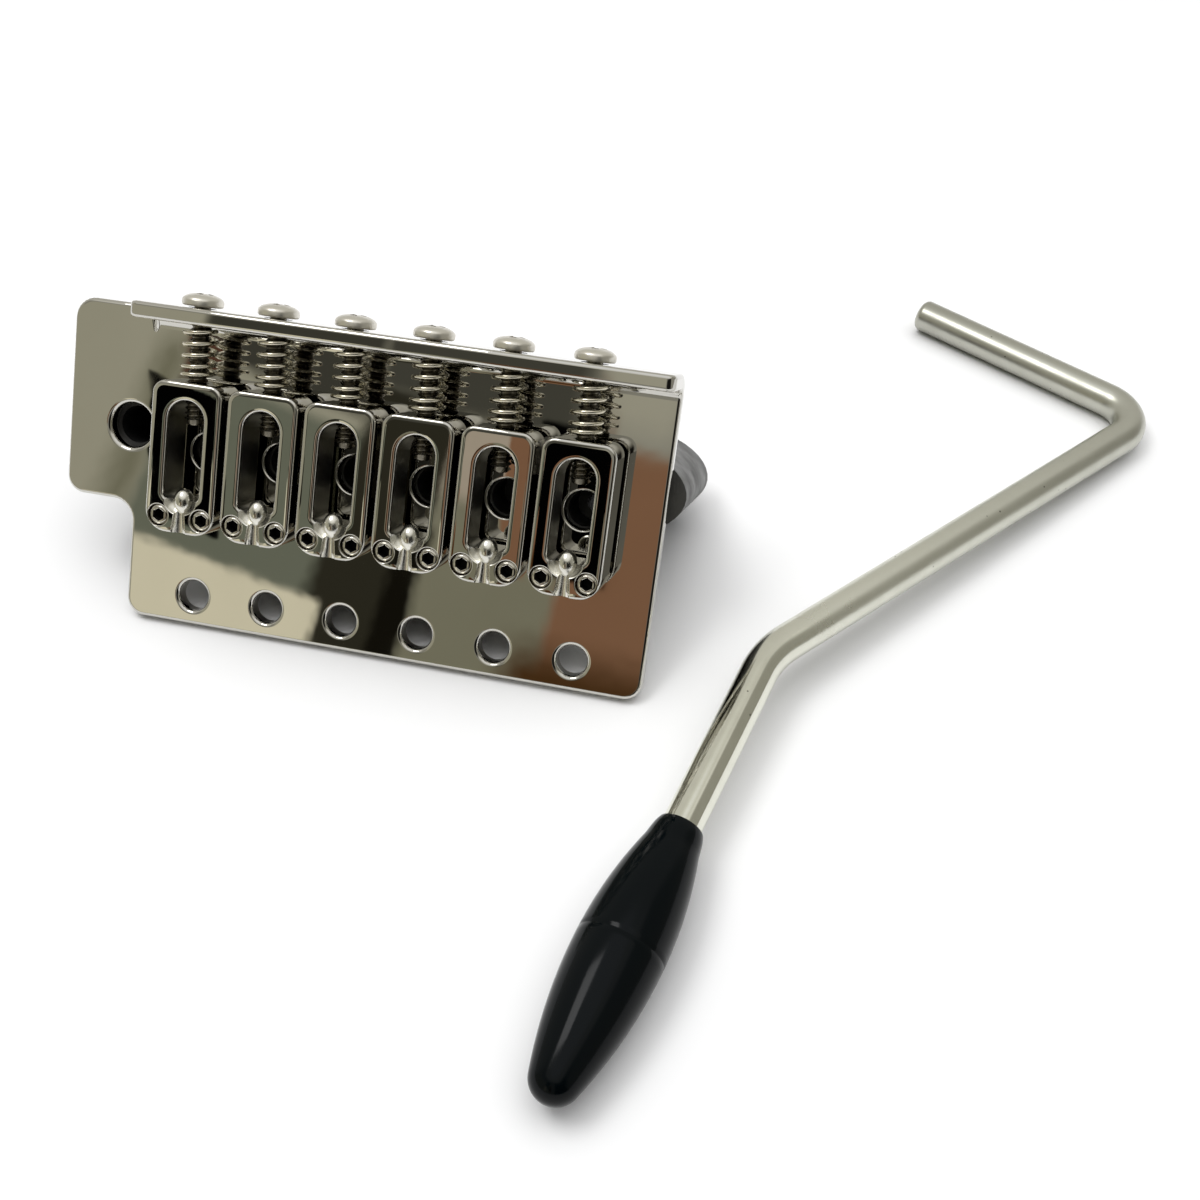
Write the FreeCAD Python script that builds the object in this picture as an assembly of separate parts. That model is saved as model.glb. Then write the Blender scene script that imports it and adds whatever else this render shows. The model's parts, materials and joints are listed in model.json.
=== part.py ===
import FreeCAD
import Part
import math
import os

# Guitar tremolo bridge leaning on its front edge and block, with its push-in arm lying beside it.
# Plate frame: x along the width, y from the pivot holes to the rear lip, z out of the plate's top face.
# Every piece is made in the plate frame and then leaned back; the arm is made where it lies.
# Origin: the middle of the row of pivot holes, on the plate's top face. Lengths in millimetres.

Vec = FreeCAD.Vector

# Strings and pivots
string_count = 6
pivot_count = 6
string_pitch = 10.8
pivot_pitch = 11.2
pivot_hole_d = 4.3
pivot_rim_d = 5.5
string_line_y = 21.0
string_hole_d = 5.3
string_hole_chamfer = 0.3

# Base plate, bent up into a lip at the rear
plate_t = 2.2
plate_width = 76.4
front_margin = 4.2
lip_front_y = 38.7
lip_height = 8.7
lip_left_inset = 2.2
lip_corner_r = 1.0
bend_r = 1.5
plate_corner_r = 2.6
plate_edge_r = 0.4
ear_width = 10.3
ear_front_y = 12.3
ear_rear_inset = 0.8
ear_rear_corner_r = 3.0
ear_front_corner_r = 2.5
ear_notch_r = 3.0
arm_hole_x_inset = 0.8
arm_hole_y = 23.1
arm_hole_d = 6.2
arm_rim_d = 7.5

# Block under the plate, with prow-shaped ends
block_front_y = 17.3
block_thickness = 13.9
block_depth = 26.6
block_right_x = 40.4
block_left_x = 46.2
block_right_prow = 14.0
block_left_prow = 10.0
block_edge_r = 0.6
string_channel_d = 2.4
string_relief_d = 5.0
string_relief_depth = 7.0
ball_channel_d = 4.6
ball_channel_length = 16.0
claw_hole_d = 2.6
claw_hole_depth = 9.0
claw_hole_inset = 3.5
claw_hole_count = 5

# Screws that hold the block to the plate
block_screw_count = 3
block_screw_inset = 3.7
block_screw_d = 2.9
block_screw_head_d = 5.4
block_screw_length = 10.0
thread_clearance = 0.05
head_clearance = 0.05

# Saddles
spring_space = 7.7
saddle_width = 10.0
saddle_length = 20.6
saddle_height = 6.2
saddle_lift = 2.0
saddle_rear_wall = 2.4
saddle_rear_r = 1.8
saddle_front_r = 3.0
saddle_edge_r = 0.35
slot_width = 5.2
slot_length = 13.6
slot_front_r = 0.9
groove_width = 1.6
groove_depth = 1.5
funnel_length = 1.9
bearing_r = 1.2
bearing_inset = 0.3
bearing_sink = 1.3
screw_rise = 3.2

# Intonation screws, held at the lip, and their springs
screw_d = 2.9
screw_reach = 3.4
screw_head_d = 5.5
screw_head_rim = 0.7
screw_head_h = 1.75
screw_tip_chamfer = 0.35
lip_hole_d = 3.7
head_gap = 0.25
recess_width = 0.9
recess_depth = 1.0
recess_span = 2.8
spring_d = 5.0
spring_wire = 0.6
spring_gap = 0.3
close_pitch = 1.05
close_turns = 1.5
open_turns = 3.25

# Height screws, two to a saddle
height_screw_d = 2.9
height_screw_spacing = 6.2
height_screw_inset = 2.2
height_screw_recess = 0.3
height_screw_bevel = 0.3
height_foot_d = 1.8
height_foot_gap = 0.3
hex_key = 1.5
hex_depth = 2.0

# Sleeve in the block that takes the arm
bush_d = 8.0
bush_length = 18.0
bush_clearance = 0.02
arm_clearance = 0.05

# Arm: a plain round end, a tight bend, a long run, a gentle bend and a moulded tip
arm_d = 5.2
arm_end_x = 68.9
arm_end_y = 87.0
arm_end_heading = -26.7
arm_end_length = 42.4
arm_run_heading = -129.6
arm_run_length = 82.2
arm_bend_rise = 7.4
arm_last_heading = -103.0
arm_last_length = 29.1
arm_first_bend_r = 6.0
arm_second_bend_r = 15.0
arm_end_r = 1.0
tip_length = 37.6
tip_neck_d = 6.0
tip_shoulder_d = 7.4
tip_shoulder_length = 3.0
tip_max_d = 11.3
tip_nose_r = 3.2
tip_nose_d = 6.0
tip_max_share = 0.47
tip_socket_share = 0.6
tip_clearance = 0.02

overrun = 1.0

# Places worked out from the sizes above
half_width = plate_width / 2
front_y = -front_margin
lip_rear_y = lip_front_y + plate_t
lip_left_x = lip_left_inset - half_width
ear_left_x = -half_width - ear_width
ear_rear_y = lip_rear_y - ear_rear_inset
arm_hole_x = -half_width - arm_hole_x_inset
block_mid_y = block_front_y + block_thickness / 2
block_rear_y = block_front_y + block_thickness
block_bottom_z = -plate_t - block_depth
saddle_rear_y = lip_front_y - spring_space
saddle_front_y = saddle_rear_y - saddle_length
saddle_top_z = saddle_lift + saddle_height
screw_z = saddle_lift + screw_rise
slot_rear_y = saddle_rear_y - saddle_rear_wall
slot_front_y = slot_rear_y - slot_length
height_screw_y = saddle_front_y + height_screw_inset
pivot_y = (lip_front_y + lip_rear_y) / 2
screw_tip_y = slot_rear_y - screw_reach
string_xs = [string_pitch * (i - (string_count - 1) / 2) for i in range(string_count)]
pivot_xs = [pivot_pitch * (i - (pivot_count - 1) / 2) for i in range(pivot_count)]
claw_xs = [string_pitch * (i - (claw_hole_count - 1) / 2) for i in range(claw_hole_count)]
block_screw_xs = [2 * string_pitch * (i - (block_screw_count - 1) / 2) for i in range(block_screw_count)]
block_screw_y = block_rear_y - block_screw_inset
claw_y = block_rear_y - claw_hole_inset

# The lean: the plate's lower front edge and the block's rounded lower edge stand on one flat surface.
edge_dy = block_front_y + block_edge_r - (front_y + plate_edge_r)
edge_dz = block_bottom_z + block_edge_r - (plate_edge_r - plate_t)
edge_span = math.hypot(edge_dy, edge_dz)
lean = math.atan2(-edge_dz, edge_dy) + math.asin((block_edge_r - plate_edge_r) / edge_span)
leaned = FreeCAD.Placement(Vec(0, 0, 0), FreeCAD.Rotation(Vec(1, 0, 0), math.degrees(lean)))
floor_z = leaned.multVec(Vec(0, front_y + plate_edge_r, plate_edge_r - plate_t)).z - plate_edge_r


def bar(start, direction, diameter, length):
    return Part.makeCylinder(diameter / 2, length, start, direction)


def rounded_outline(corners):
    """Closed wire in the plane z = 0 through (x, y, radius) corners, each rounded by a tangent arc."""
    edges = []
    count = len(corners)
    starts = []
    ends = []
    mids = []
    for i in range(count):
        here = Vec(corners[i][0], corners[i][1], 0)
        before = Vec(corners[i - 1][0], corners[i - 1][1], 0)
        after = Vec(corners[(i + 1) % count][0], corners[(i + 1) % count][1], 0)
        back = (before - here).normalize()
        on = (after - here).normalize()
        half = back.getAngle(on) / 2
        radius = corners[i][2]
        run = radius / math.tan(half)
        middle = (back + on).normalize()
        starts.append(here + back * run)
        ends.append(here + on * run)
        mids.append(here + middle * (radius / math.sin(half) - radius))
    for i in range(count):
        if corners[i][2] > 0:
            edges.append(Part.Arc(starts[i], mids[i], ends[i]).toShape())
        edges.append(Part.LineSegment(ends[i], starts[(i + 1) % count]).toShape())
    return Part.Wire(edges)


def slab(corners, low_z, high_z):
    face = Part.Face(rounded_outline(corners))
    face.translate(Vec(0, 0, low_z))
    return face.extrude(Vec(0, 0, high_z - low_z))


def countersink(x, y, top_z, rim_d, hole_d, flare):
    """Cone that opens a hole of hole_d to rim_d at top_z, carried on upwards past the face."""
    slope = (rim_d - hole_d) / 2 / flare
    wide = rim_d / 2 + overrun * slope
    return Part.makeCone(hole_d / 2, wide, flare + overrun, Vec(x, y, top_z - flare), Vec(0, 0, 1))


def make_plate():
    bend_y = lip_front_y - bend_r
    flat = slab([
        (-half_width, front_y, plate_corner_r),
        (half_width, front_y, plate_corner_r),
        (half_width, bend_y, 0),
        (lip_left_x, bend_y, 0),
        (lip_left_x, ear_rear_y, 0),
        (ear_left_x, ear_rear_y, ear_rear_corner_r),
        (ear_left_x, ear_front_y, ear_front_corner_r),
        (-half_width, ear_front_y, ear_notch_r),
    ], -plate_t, 0)
    turn = math.sqrt(0.5)
    outer_r = bend_r + plate_t
    section = Part.Wire([
        Part.Arc(Vec(lip_left_x, bend_y, 0),
                 Vec(lip_left_x, bend_y + bend_r * turn, bend_r - bend_r * turn),
                 Vec(lip_left_x, lip_front_y, bend_r)).toShape(),
        Part.LineSegment(Vec(lip_left_x, lip_front_y, bend_r), Vec(lip_left_x, lip_front_y, lip_height)).toShape(),
        Part.LineSegment(Vec(lip_left_x, lip_front_y, lip_height),
                         Vec(lip_left_x, lip_rear_y, lip_height)).toShape(),
        Part.LineSegment(Vec(lip_left_x, lip_rear_y, lip_height), Vec(lip_left_x, lip_rear_y, bend_r)).toShape(),
        Part.Arc(Vec(lip_left_x, lip_rear_y, bend_r),
                 Vec(lip_left_x, bend_y + outer_r * turn, bend_r - outer_r * turn),
                 Vec(lip_left_x, bend_y, -plate_t)).toShape(),
        Part.LineSegment(Vec(lip_left_x, bend_y, -plate_t), Vec(lip_left_x, bend_y, 0)).toShape(),
    ])
    lip = Part.Face(section).extrude(Vec(half_width - lip_left_x, 0, 0))
    ends = [e for e in lip.Edges if e.BoundBox.ZMin > lip_height - bend_r / 2 and e.BoundBox.XLength < plate_t / 2]
    lip = lip.makeFillet(lip_corner_r, ends)
    flat = flat.makeFillet(plate_edge_r, [e for e in flat.Edges if is_plate_rim(e)])
    plate = flat.fuse(lip).removeSplitter()
    cuts = []
    for x in pivot_xs:
        cuts.append(bar(Vec(x, 0, -plate_t - overrun), Vec(0, 0, 1), pivot_hole_d, plate_t + 2 * overrun))
        cuts.append(countersink(x, 0, 0, pivot_rim_d, pivot_hole_d, (pivot_rim_d - pivot_hole_d) / 2))
    for x in string_xs:
        cuts.append(bar(Vec(x, string_line_y, -plate_t - overrun), Vec(0, 0, 1), string_hole_d,
                        plate_t + 2 * overrun))
        cuts.append(countersink(x, string_line_y, 0, string_hole_d + 2 * string_hole_chamfer, string_hole_d,
                                string_hole_chamfer))
        cuts.append(bar(Vec(x, lip_front_y - overrun, screw_z), Vec(0, 1, 0), lip_hole_d, plate_t + 2 * overrun))
    cuts.append(bar(Vec(arm_hole_x, arm_hole_y, -plate_t - overrun), Vec(0, 0, 1), arm_hole_d,
                    plate_t + 2 * overrun))
    cuts.append(countersink(arm_hole_x, arm_hole_y, 0, arm_rim_d, arm_hole_d, (arm_rim_d - arm_hole_d) / 2))
    seat_d = block_screw_head_d + 2 * head_clearance
    stem_d = block_screw_d + 2 * thread_clearance
    for x in block_screw_xs:
        cuts.append(bar(Vec(x, block_screw_y, -plate_t - overrun), Vec(0, 0, 1), stem_d, plate_t + 2 * overrun))
        cuts.append(countersink(x, block_screw_y, 0, seat_d, stem_d, (seat_d - stem_d) / 2))
    return plate.cut(cuts)


def is_plate_rim(edge):
    """Edges of the sheet's outline on its top and under faces, apart from those that run into the lip."""
    box = edge.BoundBox
    level = box.ZLength < plate_edge_r / 2
    meets_bend = box.YLength < plate_edge_r / 2 and abs(box.YMin - (lip_front_y - bend_r)) < plate_edge_r / 2
    beside_lip = box.XLength < plate_edge_r / 2 and abs(box.XMin - lip_left_x) < plate_edge_r / 2
    return level and not meets_bend and not beside_lip


def make_block():
    right_mid_x = block_right_x - block_right_prow
    left_mid_x = block_left_prow - block_left_x
    half = block_thickness / 2
    top_z = -plate_t

    def prow(mid_x, length, start_angle):
        ellipse = Part.Ellipse(Vec(mid_x, block_mid_y, top_z), max(length, half), min(length, half))
        if length < half:
            ellipse.rotateZ(math.pi / 2)
            start_angle -= math.pi / 2
        return Part.ArcOfEllipse(ellipse, start_angle, start_angle + math.pi).toShape()

    right = prow(right_mid_x, block_right_prow, -math.pi / 2)
    left = prow(left_mid_x, block_left_prow, math.pi / 2)
    front = Part.LineSegment(Vec(left_mid_x, block_front_y, top_z), Vec(right_mid_x, block_front_y, top_z)).toShape()
    rear = Part.LineSegment(Vec(right_mid_x, block_rear_y, top_z), Vec(left_mid_x, block_rear_y, top_z)).toShape()
    block = Part.Face(Part.Wire([front, right, rear, left])).extrude(Vec(0, 0, -block_depth))
    bottom = [e for e in block.Edges if e.BoundBox.ZMax < block_bottom_z + block_edge_r]
    block = block.makeFillet(block_edge_r, bottom)
    cuts = []
    for x in string_xs:
        cuts.append(bar(Vec(x, string_line_y, block_bottom_z - overrun), Vec(0, 0, 1), string_channel_d,
                        block_depth + 2 * overrun))
        cuts.append(bar(Vec(x, string_line_y, block_bottom_z - overrun), Vec(0, 0, 1), ball_channel_d,
                        ball_channel_length + overrun))
        cuts.append(bar(Vec(x, string_line_y, top_z - string_relief_depth), Vec(0, 0, 1), string_relief_d,
                        string_relief_depth + overrun))
    for x in claw_xs:
        cuts.append(bar(Vec(x, claw_y, block_bottom_z - overrun), Vec(0, 0, 1), claw_hole_d,
                        claw_hole_depth + overrun))
    for x in block_screw_xs:
        depth = block_screw_length - plate_t + overrun
        cuts.append(bar(Vec(x, block_screw_y, top_z - depth), Vec(0, 0, 1), block_screw_d + 2 * thread_clearance,
                        depth + overrun))
    cuts.append(bar(Vec(arm_hole_x, arm_hole_y, top_z - bush_length), Vec(0, 0, 1), bush_d + 2 * bush_clearance,
                    bush_length + overrun))
    return block.cut(cuts)


def cross_recess(top, inward, side, width, span, depth):
    """Two crossed slots cut from the point top along inward, one of them lying along side."""
    other = inward.cross(side)
    slots = []
    for along, across in ((side, other), (other, side)):
        start = top - along * (span / 2) - across * (width / 2) - inward * overrun
        outline = Part.makePolygon([start, start + along * span, start + along * span + across * width,
                                    start + across * width, start])
        slots.append(Part.Face(outline).extrude(inward * (depth + overrun)))
    return slots[0].fuse(slots[1])


def make_block_screw(x):
    cone_h = (block_screw_head_d - block_screw_d) / 2
    head = Part.makeCone(block_screw_d / 2, block_screw_head_d / 2, cone_h, Vec(x, block_screw_y, -cone_h),
                         Vec(0, 0, 1))
    stem = bar(Vec(x, block_screw_y, -block_screw_length), Vec(0, 0, 1), block_screw_d, block_screw_length - cone_h)
    recess = cross_recess(Vec(x, block_screw_y, 0), Vec(0, 0, -1), Vec(1, 0, 0), recess_width, recess_span,
                          recess_depth)
    return head.fuse(stem).cut(recess).removeSplitter()


def make_bush():
    low = Vec(arm_hole_x, arm_hole_y, -plate_t - bush_length)
    bore_d = arm_d + 2 * arm_clearance
    sleeve = bar(low, Vec(0, 0, 1), bush_d, bush_length)
    return sleeve.cut(bar(low - Vec(0, 0, overrun), Vec(0, 0, 1), bore_d, bush_length + 2 * overrun))


def make_saddle(x):
    half = saddle_width / 2
    body = slab([
        (x - half, saddle_front_y, saddle_front_r),
        (x + half, saddle_front_y, saddle_front_r),
        (x + half, saddle_rear_y, saddle_rear_r),
        (x - half, saddle_rear_y, saddle_rear_r),
    ], saddle_lift, saddle_top_z)
    rims = [e for e in body.Edges if e.BoundBox.ZLength < saddle_edge_r]
    body = body.makeFillet(saddle_edge_r, rims)
    slot = slab([
        (x - slot_width / 2, slot_front_y, slot_front_r),
        (x + slot_width / 2, slot_front_y, slot_front_r),
        (x + slot_width / 2, slot_rear_y - slot_width / 2, 0),
        (x - slot_width / 2, slot_rear_y - slot_width / 2, 0),
    ], saddle_lift - overrun, saddle_top_z + overrun)
    slot_end = bar(Vec(x, slot_rear_y - slot_width / 2, saddle_lift - overrun), Vec(0, 0, 1), slot_width,
                   saddle_height + 2 * overrun)
    funnel = slab([
        (x - groove_width / 2, saddle_front_y - overrun, 0),
        (x + groove_width / 2, saddle_front_y - overrun, 0),
        (x + groove_width / 2, slot_front_y - funnel_length, 0),
        (x + slot_width / 2, slot_front_y, 0),
        (x + slot_width / 2, slot_front_y + slot_front_r, 0),
        (x - slot_width / 2, slot_front_y + slot_front_r, 0),
        (x - slot_width / 2, slot_front_y, 0),
        (x - groove_width / 2, slot_front_y - funnel_length, 0),
    ], saddle_top_z - groove_depth, saddle_top_z + overrun)
    screw_hole = bar(Vec(x, slot_rear_y - slot_width / 2, screw_z), Vec(0, 1, 0), screw_d + 2 * thread_clearance,
                     saddle_rear_wall + slot_width / 2 + overrun)
    saddle = body.cut([slot, slot_end, funnel, screw_hole])
    bearing = Part.makeSphere(bearing_r, Vec(x, slot_front_y - bearing_inset, saddle_top_z - bearing_sink))
    saddle = saddle.fuse(bearing)
    holes = [bar(Vec(x + side * height_screw_spacing / 2, height_screw_y, saddle_lift - overrun), Vec(0, 0, 1),
                 height_screw_d + 2 * thread_clearance, saddle_height + 2 * overrun) for side in (-1, 1)]
    return saddle.cut(holes).removeSplitter()


def make_intonation_screw(x):
    seat_y = lip_rear_y + head_gap
    crown_y = seat_y + screw_head_h
    rim_y = seat_y + screw_head_rim
    head_r = screw_head_d / 2
    stem_r = screw_d / 2
    dome_share = math.sqrt(0.5)
    dome_mid = Vec(x + head_r * dome_share, rim_y + (screw_head_h - screw_head_rim) * dome_share, screw_z)
    points = [
        Vec(x, crown_y, screw_z),
        Vec(x, screw_tip_y, screw_z),
        Vec(x + stem_r - screw_tip_chamfer, screw_tip_y, screw_z),
        Vec(x + stem_r, screw_tip_y + screw_tip_chamfer, screw_z),
        Vec(x + stem_r, seat_y, screw_z),
        Vec(x + head_r, seat_y, screw_z),
        Vec(x + head_r, rim_y, screw_z),
    ]
    edges = [Part.LineSegment(a, b).toShape() for a, b in zip(points, points[1:])]
    edges.append(Part.Arc(points[-1], dome_mid, points[0]).toShape())
    screw = Part.Face(Part.Wire(edges)).revolve(Vec(x, 0, screw_z), Vec(0, 1, 0), 360)
    recess = cross_recess(Vec(x, crown_y, screw_z), Vec(0, -1, 0), Vec(1, 0, 0), recess_width, recess_span,
                          recess_depth)
    return screw.cut(recess)


def make_height_screw(x, side):
    place = Vec(x + side * height_screw_spacing / 2, height_screw_y, 0)
    foot = place + Vec(0, 0, height_foot_gap)
    top_z = saddle_top_z - height_screw_recess
    length = top_z - height_foot_gap
    stem = bar(foot, Vec(0, 0, 1), height_screw_d, length)
    top_edge = [e for e in stem.Edges if e.BoundBox.ZMin > top_z - height_screw_bevel]
    stem = stem.makeChamfer(height_screw_bevel, top_edge)
    foot_edge = [e for e in stem.Edges if e.BoundBox.ZMax < height_foot_gap + height_screw_bevel]
    stem = stem.makeChamfer((height_screw_d - height_foot_d) / 2, foot_edge)
    corner_r = hex_key / math.sqrt(3)
    corners = [place + Vec(corner_r * math.cos(math.radians(60 * k)), corner_r * math.sin(math.radians(60 * k)),
                           top_z + overrun) for k in range(7)]
    socket = Part.Face(Part.makePolygon(corners)).extrude(Vec(0, 0, -hex_depth - overrun))
    return stem.cut(socket)


def spring_points(steps):
    """Centre line of one spring, from the lip towards the saddle, with its end coils closed up there."""
    mean_r = (spring_d - spring_wire) / 2
    length = spring_space - 2 * spring_gap - spring_wire
    open_length = length - close_turns * close_pitch
    points = []
    turns = open_turns + close_turns
    for k in range(steps + 1):
        turn = turns * k / steps
        if turn < open_turns:
            along = open_length * turn / open_turns
        else:
            along = open_length + (turn - open_turns) * close_pitch
        angle = 2 * math.pi * turn
        start_y = lip_front_y - spring_gap - spring_wire / 2
        points.append(Vec(mean_r * math.cos(angle), start_y - along, screw_z + mean_r * math.sin(angle)))
    return points


def spring_tangent(turn):
    mean_r = (spring_d - spring_wire) / 2
    length = spring_space - 2 * spring_gap - spring_wire
    open_pitch = (length - close_turns * close_pitch) / open_turns
    pitch = open_pitch if turn < open_turns else close_pitch
    angle = 2 * math.pi * turn
    return Vec(-math.sin(angle) * mean_r, -pitch / (2 * math.pi), math.cos(angle) * mean_r).normalize()


def arc_edge(start, tangent, end):
    """Circular arc that leaves start along tangent and reaches end."""
    chord = end - start
    way = Vec(chord).normalize()
    bulge = tangent - way * tangent.dot(way)
    middle = start + chord * 0.5
    if bulge.Length > 0:
        half_turn = tangent.getAngle(way)
        middle = middle + bulge.normalize() * (chord.Length / 2 * math.tan(half_turn / 2))
    return Part.Arc(start, middle, end).toShape()


def biarc(start, start_way, end, end_way):
    """Two arcs that join start to end with both end directions kept."""
    span = end - start
    ways = start_way + end_way
    a = 2 * (1 - start_way.dot(end_way))
    b = 2 * span.dot(ways)
    reach = (math.sqrt(b * b + 4 * a * span.dot(span)) - b) / (2 * a)
    join = (start + start_way * reach + end - end_way * reach) * 0.5
    join_way = (end - end_way * reach - start - start_way * reach).normalize()
    return [arc_edge(start, start_way, join), arc_edge(join, join_way, end)]


def make_spring():
    quarters = round(4 * (open_turns + close_turns))
    points = spring_points(quarters)
    edges = []
    for k in range(quarters):
        edges += biarc(points[k], spring_tangent(k / 4), points[k + 1], spring_tangent((k + 1) / 4))
    path = Part.Wire(edges)
    ring = Part.Wire(Part.makeCircle(spring_wire / 2, points[0], spring_tangent(0)))
    return path.makePipeShell([ring], True, False)


def spring_self_gap():
    """Least distance between neighbouring coils, wire surface to wire surface, on points of the centre line."""
    per_turn = 48
    steps = round(per_turn * (open_turns + close_turns))
    points = spring_points(steps)
    least = min((points[i] - points[j]).Length for i in range(steps + 1)
                for j in range(i + per_turn // 2, steps + 1))
    return least - spring_wire


def heading(degrees):
    return Vec(math.cos(math.radians(degrees)), math.sin(math.radians(degrees)), 0)


tip_max_s = tip_length * tip_max_share
tip_nose_s = tip_length - tip_nose_r + math.sqrt(tip_nose_r ** 2 - (tip_nose_d / 2) ** 2)


def tip_radius(s):
    """Radius of the moulded tip at the distance s from its neck, on the two long arcs that meet at its waist."""
    if s < tip_max_s:
        run = tip_max_s - tip_shoulder_length
        drop = (tip_max_d - tip_shoulder_d) / 2
    else:
        run = tip_nose_s - tip_max_s
        drop = (tip_max_d - tip_nose_d) / 2
    sweep_r = (run * run + drop * drop) / (2 * drop)
    return tip_max_d / 2 - sweep_r + math.sqrt(sweep_r ** 2 - (s - tip_max_s) ** 2)


# The arm lies on the surface along its plain end and on its tip, with the second bend held up.
arm_r = arm_d / 2
arm_start = Vec(arm_end_x, arm_end_y, floor_z + arm_r)
arm_corner = arm_start + heading(arm_end_heading) * arm_end_length
arm_bend = arm_corner + heading(arm_run_heading) * arm_run_length + Vec(0, 0, arm_bend_rise - arm_r)
touch_steps = 40
touch_places = [tip_shoulder_length + (tip_nose_s - tip_shoulder_length) * k / touch_steps
                for k in range(touch_steps + 1)]
touch_angles = []
for s in touch_places:
    reach = math.hypot(arm_last_length + s, tip_radius(s))
    touch_angles.append(math.asin(arm_bend_rise / reach) - math.atan2(tip_radius(s), arm_last_length + s))
arm_dip = min(touch_angles)
arm_last_way = heading(arm_last_heading) * math.cos(arm_dip) - Vec(0, 0, math.sin(arm_dip))
tip_start = arm_bend + arm_last_way * arm_last_length
arm_inner_end = tip_start + arm_last_way * (tip_length * tip_socket_share)


def make_arm():
    stops = [arm_start, arm_corner, arm_bend, arm_inner_end]
    radii = [arm_first_bend_r, arm_second_bend_r]
    edges = []
    here = stops[0]
    for k in (1, 2):
        back = (stops[k - 1] - stops[k]).normalize()
        on = (stops[k + 1] - stops[k]).normalize()
        half = back.getAngle(on) / 2
        run = radii[k - 1] / math.tan(half)
        enter = stops[k] + back * run
        leave = stops[k] + on * run
        edges.append(Part.LineSegment(here, enter).toShape())
        edges.append(arc_edge(enter, Vec(back) * -1, leave))
        here = leave
    edges.append(Part.LineSegment(here, stops[3]).toShape())
    ring = Part.Wire(Part.makeCircle(arm_r, arm_start, arm_corner - arm_start))
    rod = Part.Wire(edges).makePipeShell([ring], True, False)
    end_edge = [e for e in rod.Edges if e.Closed and (e.CenterOfMass - arm_start).Length < arm_r / 2]
    return rod.makeFillet(arm_end_r, end_edge)


def make_tip():
    side = arm_last_way.cross(Vec(0, 0, 1)).normalize()

    def at(s, radius):
        return tip_start + arm_last_way * s + side * radius

    def sweep(start_s, end_s):
        middle_s = (start_s + end_s) / 2
        return Part.Arc(at(start_s, tip_radius(start_s)), at(middle_s, tip_radius(middle_s)),
                        at(end_s, tip_radius(end_s))).toShape()

    socket_r = arm_r + tip_clearance
    socket_s = tip_length * tip_socket_share
    nose_half = math.asin(tip_nose_d / 2 / tip_nose_r) / 2
    nose_centre = tip_length - tip_nose_r
    turn = math.sqrt(0.5)
    profile = [
        Part.LineSegment(at(socket_s, 0), at(socket_s, socket_r)).toShape(),
        Part.LineSegment(at(socket_s, socket_r), at(0, socket_r)).toShape(),
        Part.LineSegment(at(0, socket_r), at(0, tip_neck_d / 2)).toShape(),
        Part.Arc(at(0, tip_neck_d / 2),
                 at(tip_shoulder_length * (1 - turn), tip_neck_d / 2 + (tip_shoulder_d - tip_neck_d) / 2 * turn),
                 at(tip_shoulder_length, tip_shoulder_d / 2)).toShape(),
        sweep(tip_shoulder_length, tip_max_s),
        sweep(tip_max_s, tip_nose_s),
        Part.Arc(at(tip_nose_s, tip_nose_d / 2),
                 at(nose_centre + tip_nose_r * math.cos(nose_half), tip_nose_r * math.sin(nose_half)),
                 at(tip_length, 0)).toShape(),
        Part.LineSegment(at(tip_length, 0), at(socket_s, 0)).toShape(),
    ]
    return Part.Face(Part.Wire(profile)).revolve(tip_start, arm_last_way, 360)


def save(name, shape):
    shape.exportStep("parts/" + name + ".step")
    print(name, "solids", len(shape.Solids), "volume", round(shape.Volume, 2), "valid", shape.isValid())


def save_leaned(name, shape):
    shape = shape.copy()
    shape.Placement = leaned.multiply(shape.Placement)
    save(name, shape)


os.makedirs("parts", exist_ok=True)
save_leaned("base_plate", make_plate())
save_leaned("tremolo_block", make_block())
save_leaned("block_screws", Part.makeCompound([make_block_screw(x) for x in block_screw_xs]))
save_leaned("arm_bush", make_bush())
spring = make_spring()
for number, x in enumerate(string_xs, 1):
    save_leaned("saddle_%d" % number, make_saddle(x))
    save_leaned("intonation_screw_%d" % number, make_intonation_screw(x))
    coil = spring.copy()
    coil.translate(Vec(x, 0, 0))
    save_leaned("intonation_spring_%d" % number, coil)
    save_leaned("height_screw_%d_left" % number, make_height_screw(x, -1))
    save_leaned("height_screw_%d_right" % number, make_height_screw(x, 1))
save("arm_rod", make_arm())
save("arm_tip", make_tip())
print("lean", round(math.degrees(lean), 2), "floor", round(floor_z, 3))
print("spring least gap to itself", round(spring_self_gap(), 3))
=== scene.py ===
import bmesh
import bpy
import json
import math
from mathutils import Matrix, Vector


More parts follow.
